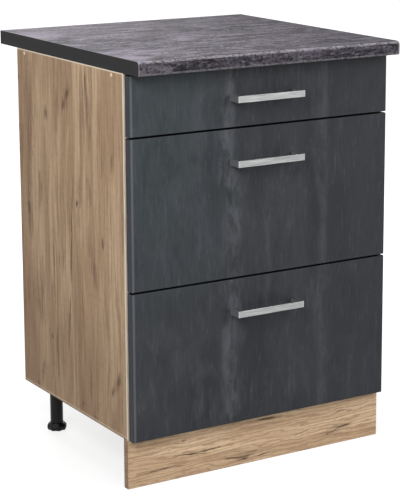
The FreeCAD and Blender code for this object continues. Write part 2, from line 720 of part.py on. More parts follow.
def handle(name, height, screws):
    """A bar on two posts, bent round at its ends."""
    body = new_body(f"{name}_bracket", "0", "front_outer", f"{height} - handle_height/2")
    end, post = "handle_length/2", "handle_length/2 - handle_post"
    face, back = "-handle_reach", "handle_bar - handle_reach"
    pad(body, "XY", [(f"-({end})", "0"), (f"-({end})", face), (end, face), (end, "0"), (post, "0"),
                     (post, back), (f"-({post})", back), (f"-({post})", "0")], "handle_height")
    rounded(body, "handle_round", lambda edge: edge.BoundBox.YMax < value(face) + 1e-6
            and edge.BoundBox.ZLength > value("handle_height") - 1e-6)
    rounded(body, "handle_edge_round")
    node(cut(body, screws), f"handle_{name}")


def gallery_rods(name, foot, back_top):
    """A rod over each side of a deep drawer, held in a cup at either end."""
    length = "back_rear - drawer_board - front_inner"
    body = new_body(f"{name}_rod", "wall_inner + gallery_inset - inner", "front_inner",
                    f"{foot} + {back_top} - gallery_drop")
    pad(body, "XZ", [("0", "0", "gallery_rod/2")], length)
    pad(body, "XZ", [("0", "0", "gallery_cup/2")], "cup_length")
    pad(body, "XZ", [("0", "0", "gallery_cup/2")], "cup_length", f"{length} - cup_length")
    node(pair(f"{name}_rods", [body]), f"gallery_rods_{name}")


def drawers():
    for name, (base, height, foot, wall_top, back_top, drop) in DRAWERS.items():
        handle_z = f"{base} + {height} - ({drop})"
        cabinet_runner(name, foot)
        rollers(name, foot)
        screws = drawer_screws(name, foot, handle_z)
        drawer_side(name, foot, wall_top, screws)
        drawer_boards(name, foot, back_top, screws)
        drawer_front(name, base, height, screws)
        handle(name, handle_z, screws)
        if name != "upper":
            gallery_rods(name, foot, back_top)


side_panels()
bottom_panel()
rails()
back_panel()
edge_bands()
worktop()
legs()
plinth()
drawers()
doc.recompute()


# ---- check and write

def check():
    broken = [thing.Name for thing in doc.Objects
              if "Invalid" in thing.State or "Error" in thing.State]
    for thing in NODES:
        shape = thing.Shape
        if shape.isNull() or not shape.isValid() or not shape.Solids:
            broken.append(thing.Label)
    if broken:
        raise RuntimeError(f"failed objects: {broken}")
    labels = [thing.Label for thing in NODES]
    if len(set(labels)) != len(labels):
        raise RuntimeError("two sub-parts share a name")


check()
os.makedirs("parts", exist_ok=True)
for thing in NODES:
    thing.Shape.exportStep(f"parts/{thing.Label}.step")
    print(thing.Label, len(thing.Shape.Solids), f"{thing.Shape.Volume:.0f} mm3")
print(len(NODES), "sub-parts")
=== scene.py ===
# %% [markdown]
# # A kitchen base cabinet with three drawers
#
# The cabinet was drawn in CAD first, and every board, runner, roller and leg of it is loaded here as a
# fixed frame. This lesson gives those parts their finishes and adds the small shapes that CAD left plain.
# Oak-look boards, a stone-look worktop, anthracite fronts and brushed handles are all made from noise, so
# nothing here reads an image.

import math

import bpy
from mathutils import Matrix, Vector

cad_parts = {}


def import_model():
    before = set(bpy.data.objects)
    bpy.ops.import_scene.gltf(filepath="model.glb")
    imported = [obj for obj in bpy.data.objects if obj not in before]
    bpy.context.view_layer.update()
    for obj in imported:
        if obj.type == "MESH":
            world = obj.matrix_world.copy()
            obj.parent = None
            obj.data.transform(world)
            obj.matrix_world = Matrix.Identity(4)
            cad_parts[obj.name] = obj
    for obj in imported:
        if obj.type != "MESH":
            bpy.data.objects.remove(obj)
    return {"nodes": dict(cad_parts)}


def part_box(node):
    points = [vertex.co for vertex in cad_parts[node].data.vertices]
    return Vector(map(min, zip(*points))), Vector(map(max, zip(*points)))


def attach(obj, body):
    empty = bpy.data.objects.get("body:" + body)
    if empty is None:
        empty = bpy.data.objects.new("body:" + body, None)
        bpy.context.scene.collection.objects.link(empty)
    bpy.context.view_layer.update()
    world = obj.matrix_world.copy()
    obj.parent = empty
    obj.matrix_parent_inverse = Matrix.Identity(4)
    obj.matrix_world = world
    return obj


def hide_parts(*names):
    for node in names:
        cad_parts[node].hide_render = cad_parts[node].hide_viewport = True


MM = 0.001  # all lengths are in metres
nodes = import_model()["nodes"]
scene = bpy.context.scene
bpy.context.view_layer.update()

# %% [markdown]
# ## The camera
#
# The picture to match is taken from the left front, a little above the worktop, through a long lens. A
# camera could be turned by hand until the edges agree. This one was fitted to twenty corners of the cabinet
# instead, which gives its place, its turn and its lens as numbers. A small lens shift keeps the upright
# edges nearly parallel.

# %% Place the camera
IMAGE = (400, 504)  # width and height in pixels
YAW, PITCH = math.radians(32.41), math.radians(11.31)

lens = bpy.data.cameras.new("front_left_view")
lens.lens = 127.2
lens.shift_x, lens.shift_y = -0.0945, -0.15
camera = bpy.data.objects.new("front_left_view", lens)
camera.location = (-1.8683, -3.1448, 1.2830)
camera.rotation_euler = (math.pi / 2 - PITCH, 0, -YAW)
scene.collection.objects.link(camera)
scene.camera = camera
print("lens", round(lens.lens, 1), "mm for an image of", IMAGE)

# %% [markdown]
# ## Trees of nodes
#
# Finishes and small shapes both come from node trees. The first kind colours a surface, the second builds a
# mesh. In both, a node is added, its settings are chosen and its sockets are fed. Doing that by hand takes
# four or five lines for each node, so a short class names the steps once, and both kinds of tree are
# written with it.

# %% Adding nodes to a tree
class Tree:
    """A node tree and the steps that fill it."""

    def __init__(self, tree):
        self.tree = tree

    def add(self, kind, sockets=(), **settings):
        """One node. A socket takes a plain value, another node's output, or a list of outputs."""
        node = self.tree.nodes.new(kind)
        for name, value in settings.items():
            setattr(node, name, value)
        for name, value in dict(sockets).items():
            self.feed(node.inputs[name], value)
        return node

    def feed(self, socket, value):
        outputs = value if isinstance(value, list) else [value]
        if isinstance(outputs[0], bpy.types.NodeSocket):
            for output in outputs:
                self.tree.links.new(output, socket)
        else:
            socket.default_value = value

    def math(self, operation, first, second=0.0):
        return self.add("ShaderNodeMath", {0: first, 1: second}, operation=operation).outputs[0]

    def times(self, value, factor):
        return self.math("MULTIPLY", value, factor)

    def parts(self, vector):
        """The parts of a vector, as outputs named X, Y and Z."""
        return self.add("ShaderNodeSeparateXYZ", {0: vector}).outputs

    def span(self, value, low, high, start=0.0, end=1.0):
        """Where value goes from low to high, this goes smoothly from start to end."""
        sockets = {"Value": value, "From Min": low, "From Max": high}
        sockets.update({"To Min": start, "To Max": end})
        node = self.add("ShaderNodeMapRange", sockets, interpolation_type="SMOOTHSTEP")
        return node.outputs["Result"]


# %% [markdown]
# ## Building materials
#
# Every finish below is a chain of small steps: stretch the coordinates, make noise, keep a span of it, mix
# two colours. Each step is a method here, so that a finish reads as a recipe. All patterns use Object
# coordinates, which are metres, so a scale of 500 means about 500 specks to the metre.

# %% The steps of a pattern
MIX_A, MIX_B, MIX_RESULT = 6, 7, 2  # the colour sockets of a Mix node


class Pattern(Tree):
    """Patterns from self.place, the Object coordinates, and self.facing, the normal."""

    def stretch(self, along):
        """Coordinates scaled along each axis: a small number draws the pattern out that way."""
        return self.add("ShaderNodeMapping", {"Vector": self.place, "Scale": along}).outputs[0]

    def noise(self, along, scale, detail=3.0, rough=0.5, bend=0.0):
        sockets = {"Vector": self.stretch(along), "Scale": scale, "Detail": detail}
        sockets.update({"Roughness": rough, "Distortion": bend})
        return self.add("ShaderNodeTexNoise", sockets).outputs["Fac"]

    def mix(self, share, first, second):
        sockets = {"Factor": share, MIX_A: first, MIX_B: second}
        return self.add("ShaderNodeMix", sockets, data_type="RGBA").outputs[MIX_RESULT]

    def axis(self, name):
        """One of the three Object coordinates, in metres."""
        return self.parts(self.place)[name]

    def towards(self, name, start=0.5, end=0.8):
        """1 on faces that look along this axis, either way, and 0 on the others."""
        return self.span(self.math("ABSOLUTE", self.parts(self.facing)[name]), start, end)

    def spot(self, centre, half, turn, ragged):
        """1 inside a small turned oval, and 0 outside it. The noise in ragged makes its rim uneven."""
        sockets = {"Vector": self.place, "Location": centre, "Rotation": turn, "Scale": half}
        inside = self.add("ShaderNodeMapping", sockets, vector_type="TEXTURE").outputs[0]
        away = self.add("ShaderNodeVectorMath", {0: inside}, operation="LENGTH").outputs["Value"]
        return self.span(self.math("ADD", away, ragged), 1.1, 0.4)

    def line(self, name, middle, half):
        """1 on a soft line across one of the axes, and 0 away from it."""
        away = self.math("ABSOLUTE", self.math("SUBTRACT", self.axis(name), middle))
        return self.span(away, half, half * 0.4)


# %% A finish
def paint(red, green, blue):
    """A screen colour from 0 to 255, as the linear colour that Blender works in."""
    screen = [channel / 255 for channel in (red, green, blue)]
    return (*[s / 12.92 if s < 0.04045 else ((s + 0.055) / 1.055) ** 2.4 for s in screen], 1)


class Finish(Pattern):
    """A procedural material, built up step by step."""

    def __init__(self, name, roughness=0.5, metallic=0.0, **sockets):
        self.material = bpy.data.materials.new(name)
        self.material.use_nodes = True
        super().__init__(self.material.node_tree)
        self.shader = self.tree.nodes["Principled BSDF"]
        self.shader.inputs["Metallic"].default_value = metallic
        self.shader.inputs["Roughness"].default_value = roughness
        for socket, value in sockets.items():
            self.shader.inputs[socket.replace("_", " ")].default_value = value
        source = self.add("ShaderNodeTexCoord")
        self.place, self.facing = source.outputs["Object"], source.outputs["Normal"]

    def colour(self, value):
        self.feed(self.shader.inputs["Base Color"], value)

    def roughness(self, value):
        self.feed(self.shader.inputs["Roughness"], value)

    def relief(self, height, strength, depth):
        """Small bumps: height goes from 0 to 1, and depth is how much that is in metres."""
        sockets = {"Height": height, "Strength": strength, "Distance": depth}
        self.feed(self.shader.inputs["Normal"], self.add("ShaderNodeBump", sockets).outputs[0])

    def dress(self, *names):
        """Puts this finish on CAD nodes."""
        for name in names:
            for place in nodes[name].material_slots:
                place.material = self.material
        print(self.material.name, "has", len(self.tree.nodes), "nodes and covers", len(names), "parts")
        return self


# %% [markdown]
# ## Oak-look boards
#
# The side panels are chipboard covered in a printed oak film: long soft bands, fine dark streaks along the
# grain, pores, and here and there a knot or a crack. One recipe serves all oak boards, and only the
# direction of its grain changes. Noise alone never gives a knot where it should be, so the knots and cracks
# of the boards that are seen best are placed one by one. Each is a small turned oval, and a wide faint one
# round it is its stain.

# %% Oak
UPRIGHT, LENGTHWAYS = "Z", "X"
PORE, FLECK = (104, 76, 52), (98, 70, 48)


def drawn_out(grain, share):
    """Scales that draw a pattern out along the grain."""
    return tuple(share if axis == grain else 1.0 for axis in "XYZ")


def oak(name, grain, light, middle, dark, seed=0.0, waves=0.35, fleck=0.4, ripple=0.0, streaky=0.5):
    """An oak print. The seed shifts it, and the last four say how strongly each kind of grain shows."""
    finish = Finish(name, roughness=0.6, Specular_IOR_Level=0.2)
    finish.grain = grain
    if seed:
        shift = {0: finish.place, 1: (seed, seed, seed)}
        finish.place = finish.add("ShaderNodeVectorMath", shift, operation="ADD").outputs[0]
    broad = finish.noise(drawn_out(grain, 0.12), 17, 3, 0.5, 0.4)
    bands = finish.noise(drawn_out(grain, 0.09), 44, 4, 0.6, 0.7)
    streaks = finish.noise(drawn_out(grain, 0.035), 230, 4, 0.62, 0.2)
    dashes = finish.noise(drawn_out(grain, 0.08), 400, 2, 0.5, 0.3)
    pores = finish.noise(drawn_out(grain, 0.04), 1500, 1, 0.5)

    def rings(along, scale, bend):
        """The flame of the grain: waves across it, bent by noise."""
        sockets = {"Vector": finish.stretch(drawn_out(grain, along)), "Scale": scale, "Distortion": bend}
        sockets.update({"Detail": 4, "Detail Scale": 1.5})
        across = "Y" if grain == UPRIGHT else "Z"
        return finish.add("ShaderNodeTexWave", sockets, bands_direction=across).outputs["Fac"]

    colour = finish.mix(finish.span(broad, 0.4, 0.58), paint(*light), paint(*middle))
    colour = finish.mix(finish.span(bands, 0.5, 0.68, 0, 0.6), colour, paint(*dark))
    colour = finish.mix(finish.span(bands, 0.42, 0.28, 0, 0.6), colour, paint(*light))
    colour = finish.mix(finish.span(rings(0.1, 17, 9), 0.3, 0.9, 0, waves), colour, paint(*middle))
    colour = finish.mix(finish.span(streaks, 0.5, 0.72, 0, streaky), colour, paint(*dark))
    colour = finish.mix(finish.span(streaks, 0.45, 0.3, 0, streaky), colour, paint(*light))
    flecked = finish.times(finish.span(dashes, 0.6, 0.7), finish.span(bands, 0.45, 0.6))
    colour = finish.mix(finish.times(flecked, fleck), colour, paint(*FLECK))
    colour = finish.mix(finish.span(pores, 0.58, 0.7, 0, 0.5), colour, paint(*PORE))
    if ripple:
        colour = finish.mix(finish.span(rings(0.22, 40, 11), 0.55, 0.95, 0, ripple), colour, paint(*dark))
    finish.tone, finish.streaks = colour, streaks
    finish.colour(colour)
    finish.roughness(finish.span(streaks, 0.3, 0.7, 0.54, 0.68))
    groove = finish.math("ADD", finish.times(pores, 0.6), finish.times(streaks, 0.4))
    finish.relief(groove, 0.25, 0.0004)
    return finish


# %% Knots, cracks and stains
BARK, STAIN = (62, 44, 31), (104, 78, 57)
# in mm: place along the board, height, half width, half length; then lean in degrees, strength, colour
SIDE_MARKS = [
    (171, 690, 22, 120, 0, 0.45, STAIN),
    (1, 742, 13, 34, 36, 0.60, STAIN),
    (92, 700, 13, 19, 0, 0.50, STAIN),
    (179, 480, 12, 60, 0, 0.60, STAIN),
    (-91, 735, 12, 84, -6, 0.50, STAIN),
    (126, 526, 11, 52, 0, 0.60, STAIN),
    (139, 301, 24, 52, -12, 0.55, STAIN),
    (-111, 414, 12, 48, -14, 0.60, STAIN),
    (-92, 573, 12, 40, 0, 0.55, STAIN),
    (-95, 470, 18, 70, 0, 0.35, STAIN),
    (-155, 330, 12, 70, 0, 0.35, STAIN),
    (4, 270, 9, 60, 4, 0.45, STAIN),
    (-196, 199, 13, 34, 36, 0.60, STAIN),
    (192, 300, 7, 80, 0, 0.45, STAIN),
    (-231, 507, 5, 50, 0, 0.60, STAIN),
    (130, 140, 8, 34, 12, 0.60, STAIN),
    (-8, 752, 8, 13, 30, 0.80, BARK),
    (11, 727, 7, 13, 30, 0.75, BARK),
    (92, 700, 8, 9, 0, 0.65, BARK),
    (-42, 536, 6, 9, 8, 0.95, BARK),
    (179, 492, 7, 17, 0, 0.85, BARK),
    (-149, 476, 6, 14, 0, 0.75, BARK),
    (-89, 757, 3.2, 56, -6, 0.60, BARK),
    (-100, 688, 3.5, 24, -10, 0.70, BARK),
    (-22, 545, 3.4, 54, 7, 0.70, BARK),
    (-12, 426, 4.2, 96, 4, 0.90, BARK),
    (2, 276, 3.8, 84, 7, 0.70, BARK),
    (56, 189, 3.8, 80, 0, 0.95, BARK),
    (67, 380, 2.8, 99, 0, 0.65, BARK),
    (-89, 189, 2.8, 54, 0, 0.60, BARK),
    (-208, 212, 8, 13, 30, 0.80, BARK),
    (-186, 185, 7, 12, 30, 0.75, BARK),
    (154, 295, 3.6, 38, -12, 0.50, BARK),
    (126, 326, 4, 24, 5, 0.50, BARK),
    (216, 759, 3.5, 7, 0, 0.80, BARK),
    (216, 654, 3.5, 8, 0, 0.70, BARK),
    (216, 604, 3.5, 8, 0, 0.70, BARK),
    (82, 232, 4.5, 9, 0, 0.70, BARK),
    (42, 404, 3.2, 20, 0, 0.50, BARK),
    (-167, 520, 2.2, 115, 1, 0.35, BARK),
    (-184, 470, 2.2, 120, 0, 0.35, BARK),
    (-191, 642, 3.4, 19, 0, 0.50, BARK),
    (-53, 123, 5, 9, 40, 0.65, BARK),
    (-111, 109, 12, 4, 0, 0.55, BARK),
    (150, 112, 14, 4, 0, 0.45, BARK),
]
PLINTH_MARKS = [
    (-30, 18, 10, 40, -4, 0.50, STAIN),
    (195, 31, 10, 42, -6, 0.50, STAIN),
    (25, 86, 4, 46, 0, 0.60, STAIN),
    (-160, 45.5, 2, 40, 5, 1.0, BARK),
    (-116, 46, 2, 36, -3, 1.0, BARK),
    (-226, 26.5, 2, 36, -3, 1.0, BARK),
    (-185, 25, 1.8, 16, 0, 0.60, BARK),
    (-31, 14, 4.2, 20, -4, 1.0, BARK),
    (-50, 16, 2, 30, 8, 0.85, BARK),
    (18, 13, 1.8, 26, -8, 0.80, BARK),
    (20, 86, 1.7, 30, 0, 0.80, BARK),
    (207, 69, 1.7, 17, 0, 0.75, BARK),
    (206, 33, 2.6, 30, -8, 0.90, BARK),
    (180, 26, 2, 30, -14, 0.80, BARK),
    (-175, 76, 1.9, 7, 0, 0.60, BARK),
    (105, 40, 1.6, 30, -12, 0.40, BARK),
    (60, 33, 1.6, 34, 10, 0.40, BARK),
    (255, 30, 1.6, 26, -16, 0.45, BARK),
]

print(len(SIDE_MARKS) + len(PLINTH_MARKS), "knots, cracks and stains placed by hand")

# %% Marks on the print
SIDE_X, PLINTH_Y = -0.292, -0.232  # the middle planes of the left side panel and the plinth


def marked(finish, marks):
    """Adds marks to an oak print, with ragged rims and broken up by its streaks."""
    grain, streaks = finish.grain, finish.streaks
    coarse = finish.span(finish.noise(drawn_out(grain, 0.14), 150, 2, 0.5), 0.3, 0.7, -0.3, 0.3)
    fine = finish.span(finish.noise(drawn_out(grain, 0.1), 800, 2, 0.6), 0.3, 0.7, -0.3, 0.3)
    ragged = finish.math("ADD", coarse, fine)
    grainy = finish.span(streaks, 0.36, 0.58, 0.35, 1.0)
    for *sizes, lean, strength, tint in marks:
        along, height, wide, long = [size * MM for size in sizes]
        if grain == UPRIGHT:
            centre, half, turn = (SIDE_X, along, height), (1, wide, long), (math.radians(lean), 0, 0)
        else:
            centre, half, turn = (along, PLINTH_Y, height), (long, 1, wide), (0, math.radians(lean), 0)
        stain = finish.spot(centre, half, turn, ragged)
        share = finish.times(finish.times(stain, strength), grainy)
        finish.tone = finish.mix(share, finish.tone, paint(*tint))
    finish.colour(finish.tone)
    return finish


# %% Oak on the boards
OAK = ((216, 186, 153), (182, 151, 121), (126, 98, 75))
PALE_OAK = ((230, 201, 166), (206, 175, 142), (150, 118, 90))
oak_left = marked(oak("oak_side_seen", UPRIGHT, *OAK), SIDE_MARKS).dress("side_panel_left")
oak_right = oak("oak_side", UPRIGHT, *OAK, seed=1.7).dress("side_panel_right")
oak("oak_lengthways", LENGTHWAYS, *OAK, seed=0.6).dress("bottom_panel", "front_rail", "back_rail")
plinth_print = oak("oak_plinth", LENGTHWAYS, *PALE_OAK, waves=0.7, fleck=0.2, ripple=0.5, streaky=0.3)
oak_plinth = marked(plinth_print, PLINTH_MARKS).dress("plinth_panel")

# %% [markdown]
# A film is cut flush with its board, so its sawn edges show raw chipboard. The board's rims catch the
# light, which is painted on as pale lines, and the shade under the bottom rim is painted as a dark line.
# Where a rim is can be read from the object's own coordinates. The facing of a sawn edge is read from its
# normal. The side panels are also painted darker towards the floor and towards the wall, as painted shade.

# %% Rims and sawn edges
PAINTED_RIM_LINES = (  # across this axis, place, half width, strength, colour
    # painted highlights: pale lines along the top rim, above the bottom rim and along the front rim
    ("Z", 0.8192, 2.4 * MM, 1.0, (246, 232, 210)),
    ("Z", 0.1045, 3.0 * MM, 0.4, (236, 214, 186)),
    # painted shade: the dark line along the bottom rim
    ("Z", 0.1000, 2.6 * MM, 0.8, (84, 62, 46)),
    ("Y", -0.2388, 2.8 * MM, 1.0, (252, 240, 222)),
)
for board in (oak_left, oak_right):
    # painted shade: the side panels get darker towards the floor and towards the wall
    low = board.span(board.axis("Z"), 0.46, 0.14, 0, 0.26)
    painted_shade_toward_wall = board.span(board.axis("Y"), -0.12, 0.2, 0, 0.12)
    tone = board.mix(board.math("ADD", low, painted_shade_toward_wall), board.tone, paint(112, 84, 62))
    for axis, place, half, strength, colour in PAINTED_RIM_LINES:
        share = board.times(board.line(axis, place, half), strength)
        tone = board.mix(share, tone, paint(*colour))
    crumbs = board.noise((1, 1, 1), 420, 3, 0.7)
    raw = board.mix(board.span(crumbs, 0.35, 0.65), paint(150, 116, 82), paint(206, 178, 138))
    sawn = board.math("MAXIMUM", board.towards("Z", 0.7, 0.9), board.towards("Y", 0.7, 0.9))
    board.colour(board.mix(sawn, tone, raw))
plinth_end = oak_plinth.times(oak_plinth.towards("X", 0.7, 0.9), 0.5)
oak_plinth.colour(oak_plinth.mix(plinth_end, oak_plinth.tone, paint(120, 94, 72)))
print(len(PAINTED_RIM_LINES), "rims on each side panel")

# %% [markdown]
# ## Edge bands, hardboard, chipboard and beech
#
# A board's cut edges are hidden by a thin pale band. The back is hardboard, smooth and pale on the outside,
# and the worktop's core is raw chipboard: flakes of wood pressed together, which Voronoi cells show well.
# The dowels are plain beech with short dark flecks.

# %% Edge bands and hardboard
edge = Finish("oak_edge_band", roughness=0.5)
edge_streaks = edge.noise((1, 1, 0.04), 500, 3)
edge.colour(edge.mix(edge.span(edge_streaks, 0.35, 0.7), paint(244, 230, 210), paint(216, 194, 168)))
edge.relief(edge_streaks, 0.15, 0.0002)
edge.dress("edge_bands")

hardboard = Finish("hardboard", roughness=0.6)
fibres = hardboard.noise((1, 1, 1), 900, 4, 0.65)
patches = hardboard.noise((1, 1, 0.6), 12, 3)
tone = hardboard.mix(hardboard.span(patches, 0.3, 0.7), paint(226, 221, 212), paint(216, 210, 199))
tone = hardboard.mix(hardboard.span(fibres, 0.55, 0.75, 0, 0.5), tone, paint(178, 164, 144))
hardboard.colour(tone)
hardboard.relief(fibres, 0.2, 0.0003)
hardboard.dress("back_panel")

# %% Chipboard and beech
chipboard = Finish("raw_chipboard", roughness=0.85)
flake_place = chipboard.stretch((1, 1, 2.5))
flakes = chipboard.add("ShaderNodeTexVoronoi", {"Vector": flake_place, "Scale": 320}).outputs["Color"]
flake_tone = chipboard.parts(flakes)["X"]
dust = chipboard.noise((1, 1, 1), 1500, 2)
tone = chipboard.mix(chipboard.span(flake_tone, 0, 1), paint(196, 166, 126), paint(140, 106, 72))
chipboard.colour(chipboard.mix(chipboard.span(dust, 0.5, 0.8, 0, 0.5), tone, paint(214, 190, 154)))
chipboard.relief(flake_tone, 0.35, 0.0005)
chipboard.dress("worktop_core")

beech = Finish("beech_dowel", roughness=0.6)
flecks = beech.noise((0.08, 1, 1), 900, 3)
beech.colour(beech.mix(beech.span(flecks, 0.45, 0.7), paint(250, 232, 204), paint(232, 206, 172)))
beech.relief(flecks, 0.3, 0.0003)
beech.dress("wood_dowels")

# %% [markdown]
# ## The stone-look worktop
#
# The sheet on the worktop is a printed laminate that looks like slate: cloudy bands that run along the
# front edge, thin pale scratches and brownish stains. It wraps round the nose without a joint, and so does
# a pattern on Object coordinates. Its ends are closed with a plain black band. The print is matt, and a
# strong mirror term would wash its contrast out at this low angle, so the specular level stays close to
# nothing.

# %% Stone laminate
stone = Finish("stone_laminate", roughness=0.7, Specular_IOR_Level=0.04)
clouds = stone.noise((0.5, 1, 1), 10, 5, 0.62, 0.6)
bands = stone.noise((0.28, 1, 1), 46, 5, 0.65, 0.5)
scratches = stone.noise((0.26, 1, 1), 170, 5, 0.72, 0.5)
mottle = stone.noise((0.7, 1, 1), 210, 4, 0.72)
stains = stone.noise((0.4, 1, 1), 22, 3, 0.5, 1.0)
crystals = stone.noise((1, 1, 1), 1100, 2)
tone = stone.mix(stone.span(clouds, 0.36, 0.62), paint(56, 53, 58), paint(106, 100, 110))
tone = stone.mix(stone.span(bands, 0.5, 0.64, 0, 0.85), tone, paint(144, 137, 150))
tone = stone.mix(stone.span(bands, 0.48, 0.36, 0, 0.9), tone, paint(38, 36, 41))
tone = stone.mix(stone.span(stains, 0.54, 0.7, 0, 0.35), tone, paint(108, 94, 92))
tone = stone.mix(stone.span(stains, 0.44, 0.32, 0, 0.5), tone, paint(66, 70, 74))
tone = stone.mix(stone.span(scratches, 0.52, 0.62, 0, 0.75), tone, paint(158, 151, 162))
tone = stone.mix(stone.span(mottle, 0.49, 0.37, 0, 0.95), tone, paint(28, 26, 30))
tone = stone.mix(stone.span(mottle, 0.56, 0.7, 0, 0.7), tone, paint(154, 147, 158))
tone = stone.mix(stone.span(crystals, 0.62, 0.8, 0, 0.4), tone, paint(186, 180, 190))
on_top = stone.towards("Z")
# painted light: towards the left end the top is lighter, in cloudy patches
left = stone.span(stone.axis("X"), -0.16, -0.3, 0.0, 0.5)
left = stone.times(left, stone.span(clouds, 0.44, 0.62))
tone = stone.mix(stone.times(left, on_top), tone, paint(160, 152, 168))
# painted shade: towards the right the top is darker
shade = stone.span(stone.axis("X"), -0.2, 0.3, 0.0, 0.42)
tone = stone.mix(stone.times(shade, on_top), tone, paint(52, 50, 56))

# %% [markdown]
# Round the nose the front of the sheet is painted darker, as painted shade. Painted highlights run as a
# pale line along the upper bend and a thin one along the lower, and a dark line is painted just behind the
# upper one.

# %% The nose
BEHIND_NOSE_Y, LOWER_BEND_Z, SHEET_END_X = -0.2885, 0.8225, 0.2986
nose = stone.towards("Y", 0.5, 0.8)
# painted shade: the nose's front is darker than the top
tone = stone.mix(stone.times(nose, 0.5), tone, paint(18, 17, 19))
upper_bend = stone.times(stone.towards("Y", 0.2, 0.5), stone.towards("Z", 0.3, 0.65))
# painted highlight along the upper bend, broken up by the mottle
painted_highlight_upper_bend = stone.times(upper_bend, stone.span(mottle, 0.36, 0.58, 0.15, 0.7))
tone = stone.mix(painted_highlight_upper_bend, tone, paint(158, 154, 160))
# a dark line painted just behind the upper bend
behind = stone.line("Y", BEHIND_NOSE_Y, 5 * MM)
behind = stone.times(behind, stone.span(scratches, 0.6, 0.4, 0.2, 0.75))
tone = stone.mix(behind, tone, paint(40, 38, 42))
# painted highlight along the lower bend
painted_highlight_lower_bend = stone.times(stone.line("Z", LOWER_BEND_Z, 3 * MM), nose)
painted_highlight_lower_bend = stone.times(painted_highlight_lower_bend, stone.span(mottle, 0.4, 0.6, 0.1, 0.6))
tone = stone.mix(painted_highlight_lower_bend, tone, paint(140, 136, 142))
cut_end = stone.span(stone.math("ABSOLUTE", stone.axis("X")), SHEET_END_X - 1.1 * MM, SHEET_END_X)
tone = stone.mix(stone.times(cut_end, 0.75), tone, paint(182, 180, 178))
stone.colour(tone)
stone.roughness(stone.span(mottle, 0.3, 0.7, 0.6, 0.76))
stone.relief(stone.math("ADD", mottle, bands), 0.35, 0.0005)
stone.dress("worktop_laminate")

# %% Black end band
black_band = Finish("black_edge_band", roughness=0.55, Specular_IOR_Level=0.1)
pearls = black_band.noise((1, 1, 1), 1400, 2)
faint = black_band.noise((1, 0.2, 1), 60, 2)
tone = black_band.mix(black_band.span(pearls, 0.3, 0.7), paint(32, 32, 32), paint(39, 39, 39))
black_band.colour(black_band.mix(black_band.span(faint, 0.5, 0.75, 0, 0.5), tone, paint(46, 46, 46)))
black_band.relief(pearls, 0.25, 0.0002)
black_band.dress("worktop_end_bands")

# %% [markdown]
# ## Anthracite fronts
#
# The fronts carry a wood print in near black, with the grain upright and running on from front to front.
# Wide soft clouds and fine upright streaks lie over each other, with colours so close together that the
# grain shows only as a shimmer. Paler and darker columns run through all three fronts, so they are placed
# one by one: the distance from an upright line is bent by noise, and a second noise breaks it up. The dark
# column behind the handles is partly grain and partly a painted shadow of the handles, and the pale one at
# their left posts is partly grain and partly a painted reflection of the posts. The print is also greener
# towards the upper left, and the fronts are a little darker towards the right.

# %% Anthracite decor
front = Finish("anthracite_wood", roughness=0.5, Specular_IOR_Level=0.14)
patches = front.noise((1, 1, 0.5), 6, 3, 0.5, 0.4)
clouds = front.noise((1, 1, 0.5), 20, 4, 0.6, 0.5)
ribbons = front.noise((1, 1, 0.2), 46, 4, 0.6, 0.35)
hairs = front.noise((1, 1, 0.14), 210, 5, 0.7, 0.2)
pits = front.noise((1, 1, 0.3), 700, 2)
drift = front.noise((1, 1, 0.6), 10, 3, 0.6)
veil = front.noise((1, 1, 0.35), 30, 5, 0.7, 0.3)
tone = front.mix(front.span(patches, 0.36, 0.64), paint(46, 48, 52), paint(57, 59, 63))
leftwards, upwards = front.span(front.axis("X"), 0.02, -0.26), front.span(front.axis("Z"), 0.2, 0.7)
corner = front.times(leftwards, upwards)
tone = front.mix(front.times(corner, 0.6), tone, paint(58, 67, 69))
tone = front.mix(front.span(clouds, 0.5, 0.7, 0, 0.4), tone, paint(72, 74, 79))
tone = front.mix(front.span(clouds, 0.48, 0.3, 0, 0.5), tone, paint(40, 42, 46))
tone = front.mix(front.span(ribbons, 0.54, 0.74, 0, 0.45), tone, paint(80, 82, 87))
tone = front.mix(front.span(ribbons, 0.46, 0.3, 0, 0.4), tone, paint(44, 46, 50))


# %% Columns of grain and of painted light
def grain_and_painted_light_column(place, half, strength, colour, below):
    """A paler or darker column through all three fronts: print grain, with painted light in the ones at the
    handles.
    """
    bent = front.math("ADD", front.axis("X"), front.span(drift, 0.25, 0.75, -12 * MM, 12 * MM))
    away = front.math("ABSOLUTE", front.math("SUBTRACT", bent, place))
    broken = front.times(front.span(away, half, 0.0), front.span(veil, 0.36, 0.62))
    share = front.times(broken, strength)
    return front.mix(share, below, paint(*colour))


# partly print, partly a painted shadow of the handles
tone = grain_and_painted_light_column(0.005, 0.075, 0.75, (42, 44, 48), tone)
# partly print, partly a painted reflection of the handles' left posts
tone = grain_and_painted_light_column(-0.078, 0.034, 0.80, (88, 90, 95), tone)
tone = front.mix(front.span(front.axis("X"), -0.05, 0.26, 0, 0.45), tone, paint(42, 43, 46))
tone = grain_and_painted_light_column(0.140, 0.022, 0.50, (78, 80, 85), tone)
tone = grain_and_painted_light_column(-0.150, 0.020, 0.30, (78, 80, 85), tone)
tone = front.mix(front.span(hairs, 0.5, 0.3, 0, 0.4), tone, paint(40, 42, 46))
tone = front.mix(front.span(hairs, 0.55, 0.72, 0, 0.4), tone, paint(84, 86, 91))
tone = front.mix(front.span(pits, 0.62, 0.75, 0, 0.35), tone, paint(34, 36, 39))
print("the fronts' print has", len(front.tree.nodes), "nodes")

# %% [markdown]
# A front's upright rim is slightly rounded, so it catches a thin line of light, and its sides carry the
# same band in a darker shade. The top and bottom rims lie in shadow and look black.

